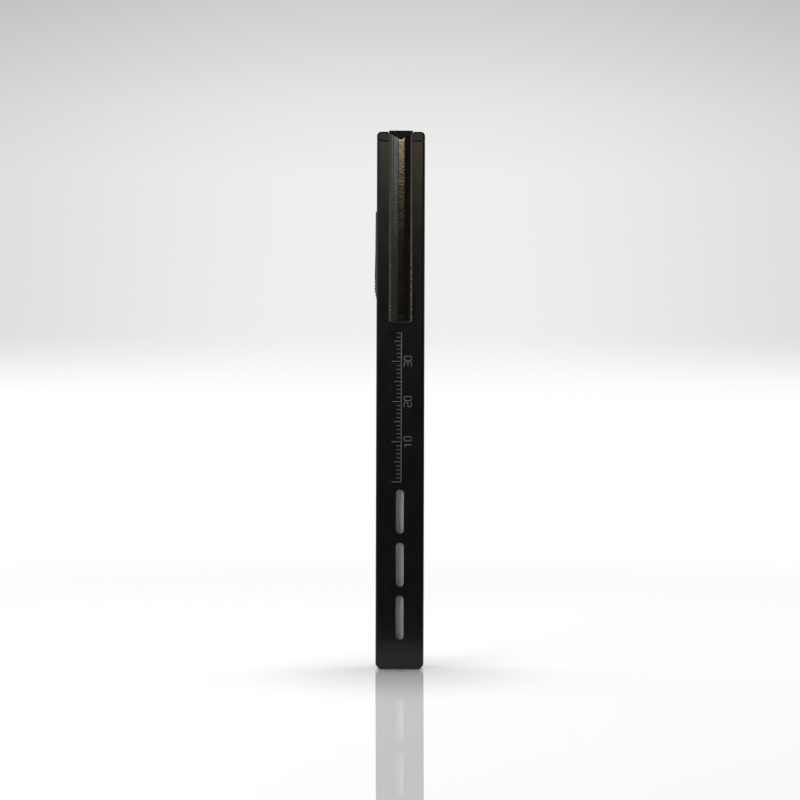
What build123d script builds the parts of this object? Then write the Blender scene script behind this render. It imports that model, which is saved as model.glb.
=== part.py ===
"""A click eraser stick: a flat pocket casing that feeds a square stick of eraser out of its nose.

Millimetres. The origin is the middle of the nose's end face. +Z runs up the casing to its tail cap.
The pocket clip and the windows are on the front, -Y. The thumb slider is on the left, -X.
"""

import os

from build123d import *

# Eraser stick
eraser_side = 6.0
eraser_length = 91.0
eraser_corner_radius = 0.6
eraser_end_radius = 0.35
tip_recess = 0.5

# Gaps between pieces
slide_clearance = 0.05
fit_clearance = 0.05
carriage_clearance = 0.15
socket_to_rack_clearance = 0.25
end_clearance = 0.1
stem_clearance = 0.2
cut_overrun = 1.0

# Grip claw, the spring steel fork that holds the eraser's upper end
claw_sheet = 0.25
claw_width = 2.8
claw_base_thickness = 0.3
claw_leg_length = 9.5
claw_tooth_height = 0.8
claw_stake_radius = 0.8
claw_stake_head = 0.25

# Carriage, the moulded block that pushes the eraser
socket_depth = 11.5
socket_face_wall = 0.5
socket_skin = 0.35
claw_groove_depth = 0.35
claw_groove_side_gap = 0.1
eraser_end_gap = 0.5
carriage_floor = 3.1
carriage_end_wall = 2.4
carriage_cheek = 0.6
carriage_spine = 1.1
carriage_runner_width = 1.2
core_wall = 0.9
core_rib = 0.8
socket_lead_in = 0.3

# Click ratchet: two toothed racks beside the slot, and the pawl plate that engages them
tooth_pitch = 2.0
tooth_height = 0.35
rack_base = 0.35
rack_slot_gap = 0.1
rack_end_teeth = 1
pawl_teeth = 4
pawl_plate_thickness = 0.8
pawl_plate_length = 17.0
mesh_clearance = 0.06
rack_tip_clearance = 0.1
release_gap = 0.1
spring_room = 0.65

# Leaf spring behind the pawl plate
spring_sheet = 0.2
spring_width = 3.0
spring_foot = 1.2
spring_end_gap = 1.3
spring_touch_gap = 0.02

# Thumb slider
slot_width = 2.6
slot_lip = 0.5
channel_width = 5.3
channel_depth = 0.8
channel_corner_radius = 0.5
thumb_below_pawl = 3.45
thumb_above_pawl = 1.6
thumb_proud_top = 0.28
thumb_proud_middle = 0.34
thumb_proud_grip = 0.5
thumb_grip_height = 2.35
thumb_middle_height = 12.0
thumb_corner_radius = 0.9
thumb_end_radius = 0.25
thumb_rib_pitch = 0.8
thumb_rib_count = 5
thumb_rib_groove_depth = 0.14
thumb_rib_groove_width = 0.36
thumb_rib_start = 1.6
post_length = 1.5
post_width = 1.6
post_inset = 0.6
post_head = 0.25
post_head_overhang = 0.25

# Casing
face_wall = 1.1
casing_edge_radius = 0.8
cavity_corner_radius = 0.3
nose_chamfer_across = 1.0
nose_chamfer_up = 1.2
nose_lean = 0.45
nose_lean_height = 5.8
nose_blend_radius = 36.0
nose_floor = 1.0
mouth_clearance = 0.25
mouth_corner_radius = 0.7
guide_height = 5.8
guide_lead_in = 0.35
guide_core_width = 0.75
guide_core_rib = 0.8
feed_stop_gap = 0.5
tail_room = 7.75
rim_edge_break = 0.12

# Windows in the front face
window_width = 1.95
window_length = 11.0
window_pitch = 13.2
window_count = 3
lowest_window_height = 12.8
window_edge_break = 0.12

# Tail cap
seam_gap = 0.25
seam_inset = 0.35
cap_head_height = 2.26
cap_side_radius = 1.2
cap_face_radius = 0.7
top_edge_share = 0.9
skirt_depth = 8.5
skirt_wall = 1.0
cap_lug_height = 0.25
cap_lug_length = 1.2
cap_lug_width = 3.0
cap_lug_above_skirt_end = 3.0

# Pocket clip, one stamping of spring steel
clip_sheet = 0.5
clip_width = 6.0
clip_length = 48.0
clip_rim = 0.7
clip_dome_rise = 0.9
clip_gap = 0.4
clip_strap_proud = 0.24
clip_facet_drop = 2.0
clip_end_rim = 0.6
clip_end_run = 0.35
clip_end_radius = 0.4
clip_end_bow = 0.35
clip_corner_radius = 0.5
clip_notch_floor_gap = 0.15
clip_notch_side_gap = 0.1
clip_bend_radius = 0.6
tongue_width = 4.0
tongue_behind_face = 3.6
tongue_below_head = 4.5
tongue_slot_gap = 0.2
tongue_hole_width = 2.2
tongue_hole_height = 1.8
tongue_hole_above_end = 1.2
nub_gap = 0.35
dimple_radius = 1.0
dimple_depth = 0.45
dimple_above_end = 2.1
dimple_touch_gap = 0.05
tongue_swing_gap = 0.35

# Inner plug, which closes the cap and traps the clip's tongue
plug_end_inset = 0.25
plug_wall = 1.0

# Places across the casing, from the eraser outwards
eraser_half = eraser_side / 2
socket_inside = eraser_half + slide_clearance
socket_half_width = socket_inside + claw_groove_depth + socket_skin
carriage_half_depth = socket_inside + socket_face_wall
rack_tip_x = socket_half_width + socket_to_rack_clearance
rack_root_x = rack_tip_x + tooth_height
cavity_half_width = rack_root_x + rack_base
cavity_half_depth = carriage_half_depth + carriage_clearance
channel_floor_x = cavity_half_width + slot_lip
half_width = channel_floor_x + channel_depth
half_depth = cavity_half_depth + face_wall

# Places across the ratchet, from the left wall inwards
press_travel = tooth_height + release_gap
pawl_front_x = rack_tip_x - rack_tip_clearance
pawl_back_x = pawl_front_x - pawl_plate_thickness
spine_front_x = pawl_back_x - press_travel - spring_room
spine_back_x = spine_front_x - carriage_spine
runner_x = cavity_half_width - carriage_clearance
pawl_half_width = carriage_half_depth - carriage_cheek - end_clearance
rack_near_y = slot_width / 2 + rack_slot_gap
rack_far_y = pawl_half_width + slide_clearance
thumb_back_x = channel_floor_x + press_travel + release_gap
thumb_half_width = channel_width / 2 - stem_clearance
stem_half_width = slot_width / 2 - stem_clearance

# Heights, from the nose up
guide_top = nose_floor + guide_height
eraser_top = tip_recess + eraser_length
socket_bottom = eraser_top - socket_depth
claw_base_bottom = eraser_top + eraser_end_gap
floor_bottom = claw_base_bottom + claw_base_thickness
pocket_bottom = floor_bottom + carriage_floor
pawl_bottom = pocket_bottom + end_clearance
pawl_top = pawl_bottom + pawl_plate_length
pocket_top = pawl_top + end_clearance
carriage_top = pocket_top + carriage_end_wall
skirt_bottom = carriage_top + tail_room
casing_top = skirt_bottom + skirt_depth
cap_bottom = casing_top + seam_gap
cap_top = cap_bottom + cap_head_height
clip_top = cap_top + clip_strap_proud
clip_bottom = clip_top - clip_length

# Feed travel: as many whole clicks as bring the socket down to the mouth guide
feed_clicks = int((socket_bottom - guide_top - feed_stop_gap) / tooth_pitch)
feed_travel = feed_clicks * tooth_pitch
pawl_teeth_bottom = (pawl_bottom + pawl_top - pawl_teeth * tooth_pitch) / 2
rack_teeth = feed_clicks + pawl_teeth + 2 * rack_end_teeth
rack_bottom = pawl_teeth_bottom - (feed_clicks + rack_end_teeth) * tooth_pitch
rack_top = rack_bottom + rack_teeth * tooth_pitch
thumb_bottom = pawl_bottom - thumb_below_pawl
thumb_top = pawl_top + thumb_above_pawl
stem_bottom = pawl_bottom + post_inset - stem_clearance
stem_top = pawl_top - post_inset + stem_clearance
channel_bottom = thumb_bottom - feed_travel - feed_stop_gap
channel_top = thumb_top + feed_stop_gap
slot_bottom = stem_bottom - feed_travel - feed_stop_gap
slot_top = stem_top + feed_stop_gap

# Places of the clip, front to back
rim_back_y = -half_depth - clip_gap
rim_front_y = rim_back_y - clip_sheet
dome_front_y = rim_front_y - clip_dome_rise
tongue_y = -half_depth + tongue_behind_face
tongue_front_y = tongue_y - clip_sheet / 2
tongue_back_y = tongue_y + clip_sheet / 2
strap_bottom = clip_top - clip_sheet
tongue_bottom = cap_bottom - tongue_below_head
facet_slope = clip_facet_drop / (-half_depth - dome_front_y)


def block(x_range, y_range, z_range):
    """A box between two corners, each range given as (low, high)."""
    spans = [high - low for low, high in (x_range, y_range, z_range)]
    middles = [(high + low) / 2 for low, high in (x_range, y_range, z_range)]
    return Pos(*middles) * Box(*spans)


def column(width, depth, radius, z_low, z_high):
    """An upright bar of rounded rectangular section on the casing's axis."""
    section = Plane.XY.offset(z_low) * RectangleRounded(width, depth, radius)
    return extrude(section, amount=z_high - z_low)


def side_plate(outline, width):
    """An outline in Y and Z, given width in X about the middle plane."""
    return extrude(Plane.YZ * outline, amount=width / 2, both=True)


def front_plate(outline, depth):
    """An outline in X and Z, given depth in Y about the middle plane."""
    return extrude(Plane.XZ * outline, amount=depth / 2, both=True)


def shape_of(*points):
    """A flat face inside straight lines between points."""
    return make_face(Polyline(*points, close=True))


def corners_at(outline, height):
    """An outline's corners at a given height, which is its local Y."""
    return [corner for corner in outline.vertices() if abs(corner.Y - height) < fit_clearance / 2]


def casing_shell():
    """The casing's outside: rounded upright edges, chamfered nose sides, leaning nose faces."""
    bar = column(2 * half_width, 2 * half_depth, casing_edge_radius, 0, casing_top)
    nose_half = half_width - nose_chamfer_across
    front_view = shape_of(
        (-nose_half, 0),
        (nose_half, 0),
        (half_width, nose_chamfer_up),
        (half_width, casing_top),
        (-half_width, casing_top),
        (-half_width, nose_chamfer_up),
    )
    lean_half = half_depth - nose_lean
    side_view = shape_of(
        (-lean_half, 0),
        (lean_half, 0),
        (half_depth, nose_lean_height),
        (half_depth, casing_top),
        (-half_depth, casing_top),
        (-half_depth, nose_lean_height),
    )
    side_view = fillet(corners_at(side_view, nose_lean_height), nose_blend_radius)
    shell = bar & front_plate(front_view, 2 * half_depth) & side_plate(side_view, 2 * half_width)
    top_edges = shell.edges().group_by(Axis.Z)[-1]
    return chamfer(top_edges, rim_edge_break)


def cut_windows(body):
    """Cuts the stadium windows through the front wall and breaks their outer edges."""
    mouth = Plane.XZ.offset(half_depth + cut_overrun)
    for index in range(window_count):
        height = lowest_window_height + index * window_pitch
        opening = mouth * Pos(0, height) * SlotOverall(window_length, window_width, rotation=90)
        body -= extrude(opening, amount=-face_wall - 2 * cut_overrun)
    front_edges = body.edges().filter_by_position(
        Axis.Y, -half_depth - fit_clearance, -half_depth + fit_clearance
    )
    rims = [edge for edge in front_edges if beside_axis(edge, window_width)]
    return chamfer(rims, window_edge_break)


def beside_axis(edge, width):
    """Whether an edge lies within a centred band of the given width in X."""
    box = edge.bounding_box()
    return max(abs(box.min.X), abs(box.max.X)) <= width / 2 + fit_clearance / 2


def make_barrel():
    """The casing: one moulding with the eraser's cavity, the windows and the slider's track."""
    body = casing_shell()
    cavity_top = casing_top + cut_overrun
    body -= column(
        2 * cavity_half_width, 2 * cavity_half_depth, cavity_corner_radius, nose_floor, cavity_top
    )
    mouth = eraser_side + 2 * mouth_clearance
    body -= column(mouth, mouth, mouth_corner_radius, -cut_overrun, nose_floor + cut_overrun)
    body = cut_windows(body)
    body -= track_cutter()
    body -= lug_blocks(cap_lug_height + fit_clearance, fit_clearance)
    return body


def track_cutter():
    """The slider's shallow channel in the left face, and the slot through its floor."""
    channel_length = channel_top - channel_bottom
    left_face = Plane.YZ.offset(-channel_floor_x)
    channel_place = Pos(0, (channel_top + channel_bottom) / 2)
    outline = RectangleRounded(channel_width, channel_length, channel_corner_radius)
    channel = left_face * channel_place * outline
    slot = block(
        (-half_width, -cavity_half_width + cut_overrun),
        (-slot_width / 2, slot_width / 2),
        (slot_bottom, slot_top),
    )
    return extrude(channel, amount=-channel_depth - cut_overrun) + slot


def lug_blocks(height, growth):
    """The cap skirt's two snap lugs, or with growth the pockets that take them."""
    z_middle = skirt_bottom + cap_lug_above_skirt_end
    lugs = Part()
    for side in (-1, 1):
        face = side * (cavity_half_width - fit_clearance)
        reach = side * (cavity_half_width + height - fit_clearance)
        lugs += block(
            (min(face, reach), max(face, reach)),
            (-cap_lug_width / 2 - growth, cap_lug_width / 2 + growth),
            (z_middle - cap_lug_length / 2 - growth, z_middle + cap_lug_length / 2 + growth),
        )
    return lugs


def make_mouth_guide():
    """The square bush that steers the eraser through the nose, cored in its two thick cheeks."""
    width = 2 * (cavity_half_width - fit_clearance)
    depth = 2 * (cavity_half_depth - fit_clearance)
    bore = eraser_side + 2 * (slide_clearance + fit_clearance)
    guide = column(width, depth, cavity_corner_radius, nose_floor, guide_top)
    guide -= column(bore, bore, mouth_corner_radius, 0, guide_top + cut_overrun)
    rim = [edge for edge in guide.edges().group_by(Axis.Z)[-1] if inside_square(edge, bore)]
    guide = chamfer(rim, guide_lead_in)
    cheek_middle = (cavity_half_width - fit_clearance + bore / 2 + guide_lead_in) / 2
    core_depth = (depth - 3 * guide_core_rib) / 2
    for side_x in (-1, 1):
        for side_y in (-1, 1):
            core = Pos(
                side_x * cheek_middle,
                side_y * (core_depth + guide_core_rib) / 2,
                guide_top - guide_height / 2 + guide_core_rib,
            )
            guide -= core * Box(guide_core_width, core_depth, guide_height)
    return guide


def inside_square(edge, side):
    """Whether an edge lies inside or on a centred square of the given side."""
    box = edge.bounding_box()
    limit = side / 2 + fit_clearance / 2
    return max(abs(box.min.X), abs(box.max.X), abs(box.min.Y), abs(box.max.Y)) <= limit


def rack_tooth(index):
    """One rack tooth in X and Z: flat underneath, sloping back above."""
    low = rack_bottom + index * tooth_pitch
    return shape_of(
        (-rack_root_x - rack_base / 2, low),
        (-rack_tip_x, low),
        (-rack_root_x, low + tooth_pitch),
        (-rack_root_x - rack_base / 2, low + tooth_pitch),
    )


def make_rack(side):
    """One toothed strip on the inside of the left wall, on the given side of the slot."""
    near, far = sorted((side * rack_near_y, side * rack_far_y))
    strip = block((-cavity_half_width, -rack_root_x), (near, far), (rack_bottom, rack_top))
    profile = Sketch() + [rack_tooth(index) for index in range(rack_teeth)]
    teeth = extrude(Plane.XZ.offset(-far) * profile, amount=far - near)
    return strip + teeth


def pawl_tooth(index):
    """One pawl tooth in X and Z: flat on top, so that it bears up against the rack."""
    low = pawl_teeth_bottom + index * tooth_pitch
    high = low + tooth_pitch - mesh_clearance
    return shape_of(
        (-pawl_front_x + pawl_plate_thickness / 2, low),
        (-rack_tip_x + mesh_clearance, low),
        (-rack_root_x + 2 * mesh_clearance, high),
        (-pawl_front_x + pawl_plate_thickness / 2, high),
    )


def make_pawl_plate():
    """The plate behind the slot whose two rows of teeth catch in the racks."""
    plate = block(
        (-pawl_front_x, -pawl_back_x), (-pawl_half_width, pawl_half_width), (pawl_bottom, pawl_top)
    )
    profile = Sketch() + [pawl_tooth(index) for index in range(pawl_teeth)]
    teeth = extrude(Plane.XZ * profile, amount=pawl_half_width, both=True)
    teeth -= block(
        (-rack_root_x, -pawl_front_x),
        (-rack_near_y, rack_near_y),
        (pawl_teeth_bottom - cut_overrun, pawl_teeth_bottom + pawl_teeth * tooth_pitch + cut_overrun),
    )
    plate += teeth
    for low, high in post_heights():
        plate -= block(
            (-pawl_front_x - cut_overrun, -pawl_back_x + cut_overrun),
            (-post_width / 2 - fit_clearance, post_width / 2 + fit_clearance),
            (low - fit_clearance, high + fit_clearance),
        )
    return plate


def post_heights():
    """The lower and upper snap post of the thumb slider, each as (low, high)."""
    lower = pawl_bottom + post_inset
    upper = pawl_top - post_inset
    return [(lower, lower + post_length), (upper - post_length, upper)]


def make_thumb_slider():
    """The pad that the thumb pushes, with its stem through the slot and two headed snap posts."""
    grip_height = thumb_bottom + thumb_grip_height
    middle_height = thumb_bottom + thumb_middle_height
    pad_outline = shape_of(
        (-thumb_back_x, thumb_bottom),
        (-half_width, thumb_bottom),
        (-half_width - thumb_proud_grip, grip_height),
        (-half_width - thumb_proud_middle, middle_height),
        (-half_width - thumb_proud_top, thumb_top),
        (-thumb_back_x, thumb_top),
    )
    pad = front_plate(pad_outline, 2 * thumb_half_width)
    pad_length = thumb_top - thumb_bottom
    plan = RectangleRounded(2 * thumb_half_width, pad_length, thumb_corner_radius)
    pad_place = Plane.YZ * Pos(0, (thumb_top + thumb_bottom) / 2)
    pad &= extrude(pad_place * plan, amount=-half_width - thumb_proud_grip - cut_overrun)
    pad = round_pad(pad)
    for index in range(thumb_rib_count):
        pad -= rib_groove(thumb_bottom + thumb_rib_start + index * thumb_rib_pitch)
    stem = block(
        (-thumb_back_x, -pawl_front_x), (-stem_half_width, stem_half_width), (stem_bottom, stem_top)
    )
    slider = pad + stem
    for low, high in post_heights():
        slider += block((-pawl_front_x, -pawl_back_x), (-post_width / 2, post_width / 2), (low, high))
        head_half = post_width / 2 + post_head_overhang
        slider += block((-pawl_back_x, -pawl_back_x + post_head), (-head_half, head_half), (low, high))
    return slider


def round_pad(pad):
    """Rounds the long outer edges of the thumb pad."""
    long_edges = [
        edge
        for edge in pad.edges()
        if abs(abs(edge.center().Y) - thumb_half_width) < fit_clearance
        and edge.center().X < -half_width
        and edge.length > thumb_middle_height / 2
    ]
    return fillet(long_edges, thumb_end_radius) if long_edges else pad


def rib_groove(height):
    """One groove across the thumb pad, which leaves a rib beside it."""
    reach = half_width + thumb_proud_grip
    floor = half_width + thumb_proud_middle - thumb_rib_groove_depth
    return block(
        (-reach - cut_overrun, -floor),
        (-thumb_half_width - cut_overrun, thumb_half_width + cut_overrun),
        (height - thumb_rib_groove_width / 2, height + thumb_rib_groove_width / 2),
    )


def make_leaf_spring():
    """A bowed strip between the carriage's spine and the pawl plate, flat at both feet."""
    low = pawl_bottom + post_inset + post_length + spring_end_gap
    high = pawl_top - post_inset - post_length - spring_end_gap
    foot_face = -spine_front_x
    crown_face = -pawl_back_x + spring_touch_gap
    middle = (low + high) / 2
    outer = Line((foot_face - spring_sheet, low), (foot_face - spring_sheet, low + spring_foot))
    outer += ThreePointArc(
        (foot_face - spring_sheet, low + spring_foot),
        (crown_face, middle),
        (foot_face - spring_sheet, high - spring_foot),
    )
    outer += Line((foot_face - spring_sheet, high - spring_foot), (foot_face - spring_sheet, high))
    inner = Line((foot_face, low), (foot_face, low + spring_foot))
    inner += ThreePointArc(
        (foot_face, low + spring_foot), (crown_face + spring_sheet, middle), (foot_face, high - spring_foot)
    )
    inner += Line((foot_face, high - spring_foot), (foot_face, high))
    ends = Line((foot_face - spring_sheet, low), (foot_face, low))
    ends += Line((foot_face - spring_sheet, high), (foot_face, high))
    return front_plate(make_face(outer.edges() + inner.edges() + ends.edges()), spring_width)


def make_carriage():
    """The block that carries the eraser: a socket below, the pawl's pocket above."""
    socket = column(
        2 * socket_half_width, 2 * carriage_half_depth, cavity_corner_radius, socket_bottom, pocket_bottom
    )
    upper = block(
        (-pawl_front_x + rack_tip_clearance, runner_x),
        (-carriage_half_depth, carriage_half_depth),
        (floor_bottom, carriage_top),
    )
    runner = block(
        (socket_half_width - socket_skin, runner_x),
        (-carriage_runner_width / 2, carriage_runner_width / 2),
        (socket_bottom, floor_bottom),
    )
    carriage = socket + upper + runner
    bore = 2 * socket_inside
    carriage -= column(bore, bore, eraser_corner_radius, socket_bottom - cut_overrun, floor_bottom)
    groove_half = claw_width / 2 + claw_groove_side_gap
    groove_reach = socket_inside + claw_groove_depth
    carriage -= block(
        (-groove_reach, groove_reach),
        (-groove_half, groove_half),
        (claw_leg_bottom() - end_clearance, floor_bottom),
    )
    carriage -= pawl_pocket()
    carriage -= carriage_cores()
    stake = Pos(0, 0, (floor_bottom + claw_base_bottom - claw_stake_head) / 2)
    stake_length = floor_bottom - claw_base_bottom + claw_stake_head
    carriage += stake * Cylinder(claw_stake_radius, stake_length)
    mouth_edges = [
        edge for edge in carriage.edges().group_by(Axis.Z)[0] if inside_square(edge, bore)
    ]
    return chamfer(mouth_edges, socket_lead_in)


def claw_leg_bottom():
    """The height of the claw's tips."""
    return claw_base_bottom - claw_leg_length


def pawl_pocket():
    """The pocket, open to the left, that holds the pawl plate and its spring."""
    pocket_half = carriage_half_depth - carriage_cheek
    return block(
        (-cavity_half_width, -spine_front_x), (-pocket_half, pocket_half), (pocket_bottom, pocket_top)
    )


def carriage_cores():
    """Two hollows in the carriage's right side, with a rib between them."""
    low = floor_bottom + core_wall
    high = carriage_top - core_wall
    middle = (low + high) / 2
    core_half = carriage_half_depth - carriage_cheek
    cores = Part()
    for z_range in ((low, middle - core_rib / 2), (middle + core_rib / 2, high)):
        cores += block((-spine_back_x, runner_x + cut_overrun), (-core_half, core_half), z_range)
    return cores


def make_grip_claw():
    """A fork of thin spring steel: a base on the socket's floor and two toothed legs."""
    leg_outer = socket_inside + claw_sheet
    base = block(
        (-leg_outer, leg_outer), (-claw_width / 2, claw_width / 2), (claw_base_bottom, floor_bottom)
    )
    hole = Pos(0, 0, (claw_base_bottom + floor_bottom) / 2)
    base -= hole * Cylinder(claw_stake_radius + fit_clearance, claw_base_thickness + cut_overrun)
    claw = base
    for side in (-1, 1):
        inner, outer = side * socket_inside, side * leg_outer
        claw += block(
            (min(inner, outer), max(inner, outer)),
            (-claw_width / 2, claw_width / 2),
            (claw_leg_bottom(), floor_bottom),
        )
        tip = side * (eraser_half + slide_clearance / 2)
        tooth = shape_of(
            (inner, claw_leg_bottom()),
            (tip, claw_leg_bottom() + claw_tooth_height / 2),
            (inner, claw_leg_bottom() + claw_tooth_height),
            (outer, claw_leg_bottom() + claw_tooth_height / 2),
        )
        claw += front_plate(tooth, claw_width)
    return claw


def make_eraser():
    """The square stick of white vinyl."""
    stick = column(eraser_side, eraser_side, eraser_corner_radius, tip_recess, eraser_top)
    return fillet(stick.edges().group_by(Axis.Z)[0], eraser_end_radius)


def clip_notch():
    """The recess in the cap's top for the clip's strap, and the slot for its tongue."""
    notch_half = clip_width / 2 + clip_notch_side_gap
    notch = block(
        (-notch_half, notch_half),
        (-half_depth - cut_overrun, tongue_back_y + tongue_slot_gap),
        (strap_bottom - clip_notch_floor_gap, clip_top + cut_overrun),
    )
    slot_half = tongue_width / 2 + clip_notch_side_gap
    slot = block(
        (-slot_half, slot_half),
        (tongue_front_y - tongue_slot_gap, tongue_back_y + tongue_slot_gap),
        (cap_bottom - cut_overrun, clip_top),
    )
    return notch + slot


def make_tail_cap():
    """The cap: a head the size of the casing, and a hollow skirt pushed down inside it."""
    bar = column(2 * half_width, 2 * half_depth, casing_edge_radius, cap_bottom, cap_top)
    top_radius = min(cap_face_radius, casing_edge_radius * top_edge_share)
    bar = fillet(bar.edges().group_by(Axis.Z)[-1], top_radius)
    front_view = shape_of(
        (-half_width, cap_bottom), (half_width, cap_bottom), (half_width, cap_top), (-half_width, cap_top)
    )
    front_view = fillet(corners_at(front_view, cap_top), cap_side_radius)
    head = bar & front_plate(front_view, 2 * half_depth)
    head = chamfer(head.edges().group_by(Axis.Z)[0], rim_edge_break)
    collar = column(
        2 * (half_width - seam_inset), 2 * (half_depth - seam_inset), casing_edge_radius - seam_inset,
        casing_top, cap_bottom,
    )
    skirt = column(
        2 * (cavity_half_width - fit_clearance), 2 * (cavity_half_depth - fit_clearance),
        cavity_corner_radius, skirt_bottom, casing_top,
    )
    cap = head + collar + skirt + lug_blocks(cap_lug_height, 0)
    cap -= column(*skirt_hollow(0), skirt_bottom - cut_overrun, cap_bottom)
    return cap - clip_notch()


def skirt_hollow(clearance):
    """Width, depth and corner radius of the skirt's hollow, less a clearance all round."""
    width = 2 * (cavity_half_width - fit_clearance - skirt_wall - clearance)
    depth = 2 * (cavity_half_depth - fit_clearance - skirt_wall - clearance)
    return width, depth, cavity_corner_radius


def make_inner_plug():
    """The plug inside the cap's skirt: its nub stands in the hole of the clip's tongue."""
    plug = column(*skirt_hollow(fit_clearance), skirt_bottom + plug_end_inset, cap_bottom)
    inner_half_width = skirt_hollow(fit_clearance)[0] / 2 - plug_wall
    inner_half_depth = skirt_hollow(fit_clearance)[1] / 2 - plug_wall
    roof = cap_bottom - tongue_below_head - plug_wall
    plug -= block(
        (-inner_half_width, inner_half_width),
        (-inner_half_depth, inner_half_depth),
        (skirt_bottom - cut_overrun, roof),
    )
    pocket_half = tongue_width / 2 + clip_notch_side_gap
    pocket_back = tongue_back_y + tongue_slot_gap
    plug -= block(
        (-pocket_half, pocket_half),
        (tongue_front_y - tongue_swing_gap, pocket_back),
        (tongue_bottom - tongue_slot_gap, cap_bottom + cut_overrun),
    )
    hole_low = tongue_bottom + tongue_hole_above_end
    nub_half = tongue_hole_width / 2 - nub_gap
    plug += block(
        (-nub_half, nub_half),
        (tongue_front_y, pocket_back),
        (hole_low + nub_gap, hole_low + tongue_hole_height - nub_gap),
    )
    return plug


def clip_surface(inset, reach):
    """The clip's outer form taken in by inset: arch across, dome end, facet and strap along."""
    rim_y = rim_front_y + inset
    dome_y = dome_front_y + inset
    dome_low = clip_bottom + clip_end_rim + inset
    facet_low = clip_top - clip_facet_drop - inset * (facet_slope - 1) / 2
    top = clip_top - inset
    facet_back = dome_y + (top - facet_low) / facet_slope
    back_y = tongue_back_y if inset == 0 else tongue_front_y
    side_view = shape_of(
        (rim_y, clip_bottom - reach),
        (rim_y, dome_low),
        (dome_y, dome_low + clip_end_run),
        (dome_y, facet_low),
        (facet_back, top),
        (back_y, top),
        (back_y, clip_bottom - reach),
    )
    side_view = fillet(corners_at(side_view, dome_low + clip_end_run), clip_end_radius)
    half = clip_width / 2 + reach
    arch_half = clip_width / 2 - clip_rim - inset * clip_dome_rise / clip_width
    arch = ThreePointArc((arch_half, rim_y), (0, dome_y), (-arch_half, rim_y))
    frame = Polyline(
        (-arch_half, rim_y),
        (-half, rim_y),
        (-half, back_y),
        (half, back_y),
        (half, rim_y),
        (arch_half, rim_y),
    )
    arch_view = Plane.XY.offset(clip_bottom - reach) * make_face(arch.edges() + frame.edges())
    upright = extrude(arch_view, amount=clip_length + reach)
    return upright & side_plate(side_view, 2 * half)


def clip_front_outline():
    """The clip seen from the front: its lower end is bowed and its corners are rounded."""
    half = clip_width / 2
    low = clip_bottom + clip_end_bow
    bow = ThreePointArc((-half, low), (0, clip_bottom), (half, low))
    frame = Polyline((half, low), (half, clip_top), (-half, clip_top), (-half, low))
    outline = make_face(bow.edges() + frame.edges())
    return fillet(corners_at(outline, low), clip_corner_radius)


def make_pocket_clip():
    """The clip: arched arm, dark top facet, strap over the cap, tongue and contact dimple."""
    clip = clip_surface(0, 0) - clip_surface(clip_sheet, cut_overrun)
    depth = 2 * (-dome_front_y + cut_overrun)
    clip &= front_plate(clip_front_outline(), depth)
    tongue_depth = (tongue_front_y - clip_gap, tongue_back_y + cut_overrun)
    clip -= block((-clip_width, clip_width), tongue_depth, (clip_bottom - cut_overrun, tongue_bottom))
    for side in (-1, 1):
        near, far = sorted((side * tongue_width / 2, side * clip_width))
        clip -= block((near, far), tongue_depth, (tongue_bottom, strap_bottom))
    hole_low = tongue_bottom + tongue_hole_above_end
    clip -= block(
        (-tongue_hole_width / 2, tongue_hole_width / 2),
        (tongue_front_y - cut_overrun, tongue_back_y + cut_overrun),
        (hole_low, hole_low + tongue_hole_height),
    )
    bend = [
        edge
        for edge in clip.edges().filter_by(Axis.X)
        if edge.center().Z > clip_top - fit_clearance and edge.center().Y > tongue_back_y - fit_clearance
    ]
    return add_dimple(fillet(bend, clip_bend_radius))


def add_dimple(clip):
    """Presses the contact dimple in near the clip's end: a dish outside, a boss inside."""
    height = clip_bottom + dimple_above_end
    inner_y = dome_front_y + clip_sheet
    boss_root = inner_y - clip_sheet / 2
    boss_tip = -half_depth - dimple_touch_gap
    boss = Pos(0, (boss_root + boss_tip) / 2, height) * Rot(-90, 0, 0)
    clip += boss * Cone(dimple_radius, dimple_radius / 2, boss_tip - boss_root)
    dish_radius = (dimple_radius**2 + dimple_depth**2) / (2 * dimple_depth)
    dish = Pos(0, dome_front_y + dimple_depth - dish_radius, height)
    return clip - dish * Sphere(dish_radius)


def build():
    """Every piece by the name of its node."""
    return {
        "barrel": make_barrel(),
        "mouth_guide": make_mouth_guide(),
        "front_rack": make_rack(-1),
        "rear_rack": make_rack(1),
        "tail_cap": make_tail_cap(),
        "inner_plug": make_inner_plug(),
        "pocket_clip": make_pocket_clip(),
        "carriage": make_carriage(),
        "grip_claw": make_grip_claw(),
        "leaf_spring": make_leaf_spring(),
        "thumb_slider": make_thumb_slider(),
        "pawl_plate": make_pawl_plate(),
        "eraser": make_eraser(),
    }


os.makedirs("parts", exist_ok=True)
for name, piece in build().items():
    export_step(piece, f"parts/{name}.step")
print("feed travel", feed_travel, "in", feed_clicks, "clicks; press travel", press_travel)
print("overall height", clip_top, "width", 2 * half_width, "depth", half_depth - dome_front_y)
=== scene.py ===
import functools
import math

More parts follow.
